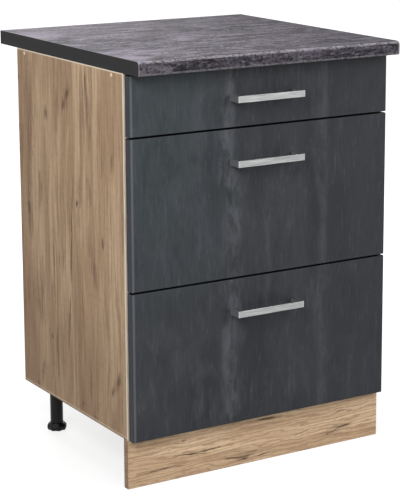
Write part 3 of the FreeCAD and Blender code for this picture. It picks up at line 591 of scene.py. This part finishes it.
# %% The rims of the fronts
LEFT_RIM_X = -0.2945
tone = front.mix(front.towards("X", 0.8, 0.97), tone, paint(52, 54, 59))
rim = front.times(front.line("X", LEFT_RIM_X, 3.6 * MM), front.towards("Y", 0.75, 0.9))
tone = front.mix(front.times(rim, 0.6), tone, paint(104, 106, 112))
tone = front.mix(front.towards("Z", 0.45, 0.7), tone, paint(16, 16, 18))
front.colour(tone)
front.roughness(front.span(hairs, 0.3, 0.7, 0.44, 0.58))
front.relief(front.math("ADD", hairs, pits), 0.3, 0.0003)
front.dress("drawer_front_lower", "drawer_front_middle", "drawer_front_upper")

# %% [markdown]
# ## Brushed handles
#
# Each handle is a flat bar on two short posts, brushed along its length. Brushing leaves hair-fine grooves
# along X, so the noise is drawn out a hundred times that way. The ends are blasted matt: they spread the
# light instead of mirroring the dark front behind them, and a lower metallic value shows that well. Their
# darker grey is painted shade, and a painted highlight lightens the bar's front near its ends.

# %% Brushed metal
BAR_END_X = 0.077
brushed = Finish("brushed_steel", roughness=0.38, metallic=1.0)
brush = brushed.noise((0.01, 1, 1), 1500, 3, 0.6)
cloud = brushed.noise((0.2, 1, 1), 60, 2)
tone = brushed.mix(brushed.span(brush, 0.38, 0.62), paint(126, 126, 127), paint(172, 172, 172))
tone = brushed.mix(brushed.span(cloud, 0.4, 0.7, 0, 0.4), tone, paint(134, 135, 136))
# painted highlight: the bar's front is lighter within 4 mm of its ends
painted_highlight_bar_ends = brushed.span(brushed.math("ABSOLUTE", brushed.axis("X")), BAR_END_X - 4 * MM, BAR_END_X, 0, 0.5)
tone = brushed.mix(painted_highlight_bar_ends, tone, paint(190, 190, 190))
# the end faces are painted a darker grey, a painted shade; their lower metallic value and higher roughness
# make them matt
matt = brushed.towards("X")
tone = brushed.mix(matt, tone, paint(112, 112, 115))
brushed.colour(tone)
brushed.feed(brushed.shader.inputs["Metallic"], brushed.span(matt, 0, 1, 1.0, 0.25))
grooved = brushed.span(brush, 0.3, 0.7, 0.3, 0.48)
brushed.roughness(brushed.math("MAXIMUM", grooved, brushed.times(matt, 0.6)))
brushed.relief(brush, 0.2, 0.0002)
brushed.dress("handle_lower", "handle_middle", "handle_upper")

# %% [markdown]
# ## Plastic, coated steel and zinc
#
# Legs and clips are moulded in black plastic with a fine spark-eroded grain. Runners and drawer sides are
# steel with a baked powder coat, which has the faint waviness of orange peel. Screws, cams and bolts are
# zinc plated and slightly blotchy.

# %% Black plastic
plastic = Finish("black_plastic", roughness=0.45, Specular_IOR_Level=0.2)
spark = plastic.noise((1, 1, 1), 2200, 2)
flow = plastic.noise((1, 1, 0.3), 40, 2)
plastic.colour(plastic.mix(plastic.span(flow, 0.35, 0.65), paint(12, 12, 13), paint(19, 19, 20)))
plastic.roughness(plastic.span(spark, 0.3, 0.7, 0.38, 0.55))
plastic.relief(spark, 0.25, 0.0002)
SIDES = ("left", "right")
CORNERS = [f"{end}_{side}" for end in ("front", "rear") for side in SIDES]
plastic.dress("plinth_clips", *[f"{part}_{corner}" for part in ("leg", "foot") for corner in CORNERS])


# %% A coated finish
DRAWERS = ("lower", "middle", "upper")


def coated(name, light, dark, roughness, peel):
    finish = Finish(name, roughness=roughness)
    waves = finish.noise((1, 1, 1), peel, 2)
    scuffs = finish.noise((1, 0.05, 1), 260, 4, 0.7)
    tone = finish.mix(finish.span(waves, 0.3, 0.7), paint(*light), paint(*dark))
    shade = tuple(channel - 30 for channel in dark)
    finish.colour(finish.mix(finish.span(scuffs, 0.66, 0.8, 0, 0.4), tone, paint(*shade)))
    finish.roughness(finish.span(scuffs, 0.4, 0.75, roughness, roughness + 0.15))
    finish.relief(waves, 0.12, 0.0003)
    return finish


# %% Powder coats, rollers and melamine
steel_sides = [f"drawer_side_{drawer}_{side}" for drawer in DRAWERS for side in SIDES]
rods = ["gallery_rods_lower", "gallery_rods_middle"]
coated("coated_steel", (214, 214, 212), (206, 206, 204), 0.35, 420).dress(*steel_sides, *rods)
channels = [f"cabinet_runner_{drawer}_{side}" for drawer in DRAWERS for side in SIDES]
coated("coated_runner", (222, 222, 219), (214, 214, 211), 0.32, 500).dress(*channels)
rollers = [f"{end}_rollers_{drawer}" for end in ("front", "rear") for drawer in DRAWERS]
roller_plastic = coated("roller_plastic", (236, 236, 230), (226, 226, 220), 0.4, 900).dress(*rollers)
boards = [f"drawer_{part}_{drawer}" for part in ("bottom", "back") for drawer in DRAWERS]
coated("drawer_melamine", (226, 226, 224), (218, 218, 216), 0.5, 1500).dress(*boards)

# %% Zinc
zinc = Finish("zinc_steel", roughness=0.34, metallic=1.0)
blotch = zinc.noise((1, 1, 1), 300, 3, 0.6)
zinc.colour(zinc.mix(zinc.span(blotch, 0.3, 0.7), paint(186, 188, 190), paint(160, 163, 168)))
zinc.roughness(zinc.span(blotch, 0.3, 0.7, 0.26, 0.46))
fasteners = [f"drawer_screws_{drawer}" for drawer in DRAWERS]
zinc.dress("cam_bolts", "cam_locks", "chipboard_screws", "worktop_screws", *fasteners)

# %% [markdown]
# ## Small shapes on many places
#
# Screws, cam locks, rollers and feet come in many copies of one shape. A Geometry Nodes tree builds that
# shape once, pointing up, and puts it on every point it is given, turned as the point says. Writing out
# each copy in mesh code would work too, but a tree keeps its sizes as named inputs, so one screw can be
# long or short. At the end the copies are made real and become a plain mesh, which a joint can then carry.

# %% Simple solids
from mathutils import Matrix, Vector


class Solids(Tree):
    """Solids round the upright axis. Each size may be a number or a socket."""

    def vector(self, x=0.0, y=0.0, z=0.0):
        return self.add("ShaderNodeCombineXYZ", {0: x, 1: y, 2: z}).outputs[0]

    def moved(self, shape, z=0.0, x=0.0, turn=(0, 0, 0)):
        sockets = {"Geometry": shape, "Translation": self.vector(x, 0, z), "Rotation": turn}
        return self.add("GeometryNodeTransform", sockets).outputs[0]

    def disc(self, radius, height, bottom=0.0, faces=24, layers=1):
        """A round bar that stands on bottom."""
        sockets = {"Vertices": faces, "Side Segments": layers, "Radius": radius, "Depth": height}
        bar = self.add("GeometryNodeMeshCylinder", sockets).outputs["Mesh"]
        return self.moved(bar, z=self.math("ADD", bottom, self.times(height, 0.5)))

    def cone(self, low, high, height, bottom=0.0, faces=24):
        sockets = {"Vertices": faces, "Radius Bottom": low, "Radius Top": high, "Depth": height}
        return self.moved(self.add("GeometryNodeMeshCone", sockets).outputs["Mesh"], z=bottom)

    def block(self, x, y, z, out=0.0):
        cube = self.add("GeometryNodeMeshCube", {"Size": self.vector(x, y, z)}).outputs["Mesh"]
        return self.moved(cube, x=out)

    def without(self, shape, *cutters):
        sockets = {"Mesh 1": shape, "Mesh 2": list(cutters)}
        return self.add("GeometryNodeMeshBoolean", sockets, operation="DIFFERENCE").outputs["Mesh"]

    def join(self, *shapes):
        return self.add("GeometryNodeJoinGeometry", {"Geometry": list(shapes)}).outputs[0]

    def copies(self, points, shape, turn):
        """A copy of the shape on each point, made real."""
        sockets = {"Points": points, "Instance": shape, "Rotation": turn}
        placed = self.add("GeometryNodeInstanceOnPoints", sockets).outputs[0]
        return self.add("GeometryNodeRealizeInstances", {"Geometry": placed}).outputs[0]

    def around(self, shape, count):
        """Copies of a shape, turned round the upright axis."""
        line = {"Count": count, "Offset": (0.0, 0.0, 0.0)}
        points = self.add("GeometryNodeMeshLine", line).outputs["Mesh"]
        number = self.add("GeometryNodeInputIndex").outputs[0]
        turn = self.times(number, self.math("DIVIDE", 2 * math.pi, count))
        return self.copies(points, shape, self.vector(z=turn))


# %% A tree for one shape
class Shape(Solids):
    """A Geometry Nodes tree that puts one small shape on each of its points."""

    def __init__(self, name, **sizes):
        super().__init__(bpy.data.node_groups.new(name, "GeometryNodeTree"))
        sockets = self.tree.interface
        sockets.new_socket("Points", in_out="INPUT", socket_type="NodeSocketGeometry")
        self.keys = {}
        for label, value in sizes.items():
            kind = "NodeSocketInt" if isinstance(value, int) else "NodeSocketFloat"
            entry = sockets.new_socket(label, in_out="INPUT", socket_type=kind)
            entry.default_value = value
            self.keys[label] = entry.identifier
        sockets.new_socket("Shape", in_out="OUTPUT", socket_type="NodeSocketGeometry")
        self.size = self.add("NodeGroupInput").outputs

    def close(self, shape, finish):
        """The end of every tree: a copy on each point, made real, with its material."""
        turn = self.add("GeometryNodeInputNamedAttribute", {"Name": "turn"}, data_type="FLOAT_VECTOR")
        real = self.copies(self.size["Points"], shape, turn.outputs["Attribute"])
        dressed = self.add("GeometryNodeSetMaterial", {"Geometry": real, "Material": finish.material})
        self.add("NodeGroupOutput", {"Shape": dressed.outputs[0]})


# %% [markdown]
# ## Where the small parts are
#
# The CAD file knows where each screw, cam lock and roller sits, so those places are read from its meshes
# instead of being typed in. One CAD node holds many loose solids. Points that share a face belong to one
# solid, and its wide end tells which way a screw points.

# %% Loose solids of a node
def loose_parts(name):
    """Each separate solid of a CAD node, as a list of its points."""
    mesh = nodes[name].data
    places = [vertex.co.to_tuple(6) for vertex in mesh.vertices]
    parent = {place: place for place in places}

    def root(place):
        while parent[place] != place:
            parent[place] = parent[parent[place]]
            place = parent[place]
        return place

    for face in mesh.polygons:
        first, *others = [root(places[number]) for number in face.vertices]
        for other in others:
            parent[root(other)] = root(first)
    parts = {}
    for place in parent:
        parts.setdefault(root(place), []).append(Vector(place))
    return list(parts.values())


print("solids in the screws' node:", len(loose_parts("chipboard_screws")))


# %% Which way a solid points
def corners(points):
    low = Vector([min(point[i] for point in points) for i in range(3)])
    high = Vector([max(point[i] for point in points) for i in range(3)])
    return low, high


def unit(axis):
    return Vector([1.0 if i == axis else 0.0 for i in range(3)])


def ends(points, axis=None, outward=None):
    """The middle of a part's wide end, the direction out of that end, and the part's length."""
    low, high = corners(points)
    middle, size = (low + high) / 2, high - low
    if axis is None:
        axis = max(range(3), key=lambda i: size[i])

    def width(level):
        ring = [point for point in points if abs(point[axis] - level) < 0.2 * MM]
        return max(((point - middle) - (point - middle)[axis] * unit(axis)).length for point in ring)

    if outward is None:
        outward = 1 if width(high[axis]) > width(low[axis]) else -1
    middle[axis] = high[axis] if outward > 0 else low[axis]
    return middle, outward * unit(axis), size[axis]


def turned(direction, spin=0.0):
    """The turn that takes the upright axis to a direction."""
    turn = Vector((0, 0, 1)).rotation_difference(direction).to_matrix().to_4x4()
    return tuple((turn @ Matrix.Rotation(spin, 4, "Z")).to_euler())


# %% Setting a shape out
SHARP = math.radians(32)  # edges with a wider bend than this stay sharp


def set_out(shape, name, spots, body, slot, *stands_for, **sizes):
    """Runs a tree on one body's spots, keeps the result as a plain mesh and lets the body carry it."""
    mesh = bpy.data.meshes.new(name)
    mesh.from_pydata([tuple(spot) for spot, turn in spots], [], [])
    turns = mesh.attributes.new("turn", "FLOAT_VECTOR", "POINT")
    for entry, (spot, turn) in zip(turns.data, spots):
        entry.vector = turn
    piece = bpy.data.objects.new(name, mesh)
    scene.collection.objects.link(piece)
    modifier = piece.modifiers.new("shape", "NODES")
    modifier.node_group = shape.tree
    for label, value in sizes.items():
        modifier[shape.keys[label]] = value
    ready = piece.evaluated_get(bpy.context.evaluated_depsgraph_get())
    plain = bpy.data.meshes.new_from_object(ready)
    piece.modifiers.remove(modifier)
    piece.data = plain
    plain.shade_smooth()
    plain.set_sharp_from_angle(angle=SHARP)
    if "turn" in plain.attributes:
        plain.attributes.remove(plain.attributes["turn"])
    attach(piece, body)
    if stands_for:
        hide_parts(*stands_for)
    print(name, len(spots), "copies,", len(plain.polygons), "faces")


# %% [markdown]
# ## Screws
#
# A chipboard screw has a flat countersunk head with a cross recess. Only the head shows, so the shank under
# it is plain. The recess is two crossed blocks cut out of the head, and the head narrows to the shank
# below.

# %% The screw
SUNK, SLOT, RECESS = 0.0016, 0.0009, 0.0022  # height of the head, width of its cross, and twice its depth
SHANK_TOP = 0.0012  # the shank ends this far down, inside the head
screw = Shape("cross_recess_screw", Head=0.0035, Shank=0.00175, Length=0.0166)
radius, length = screw.size["Shank"], screw.size["Length"]
head = screw.cone(radius, screw.size["Head"], SUNK, bottom=-SUNK)
cross = screw.times(screw.size["Head"], 1.25)
recessed = screw.without(head, screw.block(cross, SLOT, RECESS), screw.block(SLOT, cross, RECESS))
shank_length = screw.math("SUBTRACT", length, SHANK_TOP)
shank = screw.disc(radius, shank_length, bottom=screw.times(length, -1), faces=12)
screw.close(screw.join(recessed, shank), zinc)
print("a screw takes", len(screw.tree.nodes), "nodes")


# %% All screws
def screws(name, body, node):
    """Stands for one node of screws. Each screw is found again from the node's own mesh."""
    groups = {}
    for index, points in enumerate(loose_parts(node)):
        spot, direction, length = ends(points)
        groups.setdefault(round(length, 3), []).append((spot, turned(direction, index * 0.7)))
    for number, (length, spots) in enumerate(sorted(groups.items())):
        stands_for = [node] if number == 0 else []
        set_out(screw, f"{name}_{number}", spots, body, "zinc_steel", *stands_for, Length=length)


screws("small_screws", "carcass", "chipboard_screws")
screws("long_screws", "carcass", "worktop_screws")
for drawer in DRAWERS:
    screws(f"drawer_{drawer}_screws", f"drawer_{drawer}", f"drawer_screws_{drawer}")

# %% [markdown]
# ## Cam locks
#
# A cam lock is a zinc drum sunk in the board from below. Its face has a deep cross for the screwdriver
# inside a raised rim, and turning it draws the bolt in. The drum is a round bar, and the face is cut with a
# shallow round pocket and then with the cross.

# %% The cam lock
RIM, CROSS_LONG, CROSS_WIDE, CROSS_CUT = 0.0012, 0.0095, 0.0016, 0.006
cam = Shape("cam_lock", Radius=0.0075, Depth=0.0125)
radius, depth = cam.size["Radius"], cam.size["Depth"]
drum = cam.disc(radius, depth, bottom=cam.times(depth, -1), faces=32)
pocket = cam.disc(cam.math("SUBTRACT", radius, RIM), RIM, bottom=-RIM / 2, faces=32)
cross = [cam.block(CROSS_LONG, CROSS_WIDE, CROSS_CUT), cam.block(CROSS_WIDE, CROSS_LONG, CROSS_CUT)]
cam.close(cam.without(cam.without(drum, pocket), *cross), zinc)
spots = []
for index, points in enumerate(loose_parts("cam_locks")):
    spot, direction, length = ends(points, axis=2, outward=-1)
    spots.append((spot, turned(direction, 0.4 + index * 0.9)))
set_out(cam, "cam_drums", spots, "carcass", "zinc_steel", "cam_locks")

# %% [markdown]
# ## Rollers
#
# A runner's roller is a plastic wheel: a tread, a thin web with six ribs, and a hub round its steel pin.
# The web is made by cutting a ring-shaped pocket into both faces of a disc, and the ribs are put back in.

# %% The roller
TREAD, HUB_WALL, CUT = 0.0018, 0.0016, 0.01
wheel = Shape("runner_roller", Radius=0.011, Width=0.006, Bore=0.00255, Ribs=6)
radius, width, bore = wheel.size["Radius"], wheel.size["Width"], wheel.size["Bore"]
hub_radius = wheel.math("ADD", bore, HUB_WALL)
inner = wheel.math("SUBTRACT", radius, TREAD)
blank = wheel.disc(radius, width, bottom=wheel.times(width, -0.5), faces=48)
ring = wheel.without(wheel.disc(inner, CUT, faces=48), wheel.disc(hub_radius, 3 * CUT, bottom=-CUT))
upper = wheel.moved(ring, z=wheel.times(width, 0.15))
lower = wheel.moved(ring, z=wheel.math("SUBTRACT", wheel.times(width, -0.15), CUT))
hole = wheel.disc(bore, 3 * CUT, bottom=-1.5 * CUT)
pocketed = wheel.without(blank, upper, lower, hole)

# %% Its ribs
RIB, OVERLAP = 0.0009, 0.0006
rib_length = wheel.math("ADD", wheel.math("SUBTRACT", inner, hub_radius), OVERLAP)
rib_middle = wheel.times(wheel.math("ADD", inner, hub_radius), 0.5)
rib = wheel.block(rib_length, RIB, wheel.times(width, 0.84), out=rib_middle)
wheel.close(wheel.join(pocketed, wheel.around(rib, wheel.size["Ribs"])), roller_plastic)
print("a roller takes", len(wheel.tree.nodes), "nodes")

# %% All rollers
for drawer in DRAWERS:
    for end, size in (("front", 0.011), ("rear", 0.0095)):
        node = f"{end}_rollers_{drawer}"
        middles = [sum(corners(points), Vector()) / 2 for points in loose_parts(node)]
        spots = [(middle, turned(Vector((1, 0, 0)))) for middle in middles]
        set_out(wheel, f"{end}_wheels_{drawer}", spots, node, "roller_plastic", node, Radius=size)

# %% [markdown]
# ## Feet
#
# Each foot is a plastic disc on a threaded stem, turned by hand to level the cabinet, so its rim has eight
# shallow lobes to grip. Its upper and lower rims are bevelled. The disc starts as a plain round bar with
# many layers, and every point is drawn in by a share that depends on its height and on its angle. The
# thread is a spiral that carries a small round profile.

# %% The foot's disc
foot = Shape("screw_foot", Radius=0.021, Height=0.015, Stem=0.0092, Reach=0.06, Pitch=0.003, Lobes=8)
high = foot.size["Height"]
bar = foot.disc(foot.size["Radius"], high, faces=96, layers=10)
parts = foot.parts(foot.add("GeometryNodeInputPosition").outputs[0])
angle = foot.math("ARCTAN2", parts["Y"], parts["X"])
cosine = foot.math("COSINE", foot.times(angle, foot.size["Lobes"]))
wave = foot.times(foot.math("ADD", 1.0, cosine), 0.5)
share_up = foot.math("DIVIDE", parts["Z"], high)
top_bevel = foot.span(share_up, 0.62, 1.0, 0.0, 0.22)
base_bevel = foot.span(share_up, 0.22, 0.0, 0.0, 0.09)
lobes = foot.times(wave, foot.span(share_up, 0.0, 0.45, 0.11, 0.055))
drawn_in = foot.math("ADD", top_bevel, foot.math("ADD", lobes, base_bevel))
kept = foot.math("SUBTRACT", 1.0, drawn_in)
moved = foot.vector(foot.times(parts["X"], kept), foot.times(parts["Y"], kept), parts["Z"])
grip = foot.add("GeometryNodeSetPosition", {"Geometry": bar, "Position": moved}).outputs[0]
print("the disc takes", len(foot.tree.nodes), "nodes")

# %% Its stem and thread
STEM_START, THREAD_START, THREAD_SHORT, THREAD_RADIUS = 0.001, 0.002, 0.004, 0.0007
stem, reach = foot.size["Stem"], foot.math("SUBTRACT", foot.size["Reach"], high)
stem_bottom = foot.math("SUBTRACT", high, STEM_START)
core = foot.disc(stem, foot.math("ADD", reach, STEM_START), bottom=stem_bottom)
climb = foot.math("SUBTRACT", reach, THREAD_SHORT)
spiral = {"Resolution": 20, "Rotations": foot.math("DIVIDE", climb, foot.size["Pitch"]), "Height": climb}
spiral.update({"Start Radius": stem, "End Radius": stem})
path = foot.add("GeometryNodeCurveSpiral", spiral).outputs[0]
circle = {"Resolution": 5, "Radius": THREAD_RADIUS}
profile = foot.add("GeometryNodeCurvePrimitiveCircle", circle).outputs["Curve"]
swept = {"Curve": path, "Profile Curve": profile, "Fill Caps": True}
thread = foot.add("GeometryNodeCurveToMesh", swept).outputs[0]
thread = foot.moved(thread, z=foot.math("ADD", high, THREAD_START))
foot.close(foot.join(grip, core, thread), plastic)


# %% Four feet
def upright_axis(node, height=None):
    """The middle of a node, at its bottom or at a height."""
    low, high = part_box(node)
    return Vector(((low[0] + high[0]) / 2, (low[1] + high[1]) / 2, low[2] if height is None else height))


for corner in CORNERS:
    spots = [(upright_axis(f"foot_{corner}"), (0, 0, math.radians(11)))]
    set_out(foot, f"screw_foot_{corner}", spots, f"foot_{corner}", "black_plastic", f"foot_{corner}")

# %% [markdown]
# ## Ribs under the leg plates
#
# A leg's plate takes the cabinet's weight, and four moulded ribs stiffen it against the tube. A rib is a
# thin prism with three sides, one flat against the plate. Its inner half is inside the tube's wall.

# %% The ribs
RIB_OUT, RIB_Z = 0.0172, 0.0912  # a rib's middle from the leg's axis, and over the floor
ribs = Shape("leg_ribs", Span=0.009, Thick=0.002, Count=4)
flat = {"Vertices": 3, "Radius": ribs.size["Span"], "Depth": ribs.size["Thick"]}
prism = ribs.add("GeometryNodeMeshCylinder", flat).outputs["Mesh"]
standing = ribs.moved(prism, turn=(math.pi / 2, math.pi / 2, 0))
ribs.close(ribs.around(ribs.moved(standing, x=RIB_OUT), ribs.size["Count"]), plastic)
legs = [(upright_axis(f"leg_{corner}", RIB_Z), (0, 0, 0)) for corner in CORNERS]
set_out(ribs, "leg_plate_ribs", legs, "carcass", "black_plastic")

# %% [markdown]
# ## Floor and light
#
# A product picture like this is lit by big soft boxes in a white room. The floor and the world are pale,
# and the camera and mirror-like surfaces see them as pure white. The lamps stay at a plain level, so a
# colour comes out about as it was written.

# %% White for the camera
def white_to_the_eye(tree):
    """1 for rays from the camera, a mirror or through glass, and 0 for rays that light a surface."""
    rays = tree.add("ShaderNodeLightPath").outputs
    seen = tree.math("MAXIMUM", rays["Is Camera Ray"], rays["Is Glossy Ray"])
    return tree.math("MAXIMUM", seen, rays["Is Transmission Ray"])


# %% The floor
bpy.ops.mesh.primitive_plane_add(size=60, location=(0, 0, -0.0005))
floor = bpy.context.object
floor.name = "floor"

pale = Finish("pale_floor", roughness=0.9, Specular_IOR_Level=0.0)
grey = pale.span(pale.noise((1, 1, 1), 3, 2), 0.3, 0.7)
pale.colour(pale.mix(grey, paint(158, 158, 158), paint(162, 162, 162)))
pale.feed(pale.shader.inputs["Emission Color"], (1, 1, 1, 1))
distance = pale.add("ShaderNodeVectorMath", {0: pale.place}, operation="LENGTH").outputs["Value"]
glow = pale.span(distance, 0.4, 1.6, 0.76, 1.0)
glow = pale.times(white_to_the_eye(pale), glow)
pale.feed(pale.shader.inputs["Emission Strength"], glow)
floor.data.materials.append(pale.material)
print("the floor is", floor.dimensions[0], "m wide")

# %% The room
LIGHT_LEVEL, SEEN_LEVEL = 0.3, 1.0
world = bpy.data.worlds.new("white_room")
scene.world = world
world.use_nodes = True
room = Tree(world.node_tree)
background = world.node_tree.nodes["Background"].inputs
background["Color"].default_value = (1, 1, 1, 1)
sockets = {"Value": white_to_the_eye(room), "To Min": LIGHT_LEVEL, "To Max": SEEN_LEVEL}
room.feed(background["Strength"], room.add("ShaderNodeMapRange", sockets).outputs["Result"])
print("the room gives light at", LIGHT_LEVEL, "and is seen at", SEEN_LEVEL)


# %% The soft boxes
def soft_box(name, place, aim, size, power):
    lamp = bpy.data.lights.new(name, "AREA")
    lamp.size, lamp.energy = size, power
    box = bpy.data.objects.new(name, lamp)
    box.location = place
    direction = [a - p for a, p in zip(aim, place)]
    flat = math.hypot(direction[0], direction[1])
    box.rotation_euler = (math.atan2(flat, -direction[2]), 0, math.atan2(-direction[0], direction[1]))
    scene.collection.objects.link(box)
    print(name, "soft box,", power, "W")


soft_box("key", (1.5, -3.2, 1.9), (0, 0, 0.5), 1.7, 68)
soft_box("top", (-0.3, -0.2, 3.2), (0, 0, 0.8), 1.6, 27)
soft_box("fill", (-1.75, -1.5, 1.95), (-0.3, -0.15, 0.8), 0.8, 33)
soft_box("back", (0.9, 3.0, 1.6), (0, 0.2, 0.5), 1.6, 36)

# %% The look
scene.view_settings.view_transform = "Standard"
print("view transform:", scene.view_settings.view_transform)
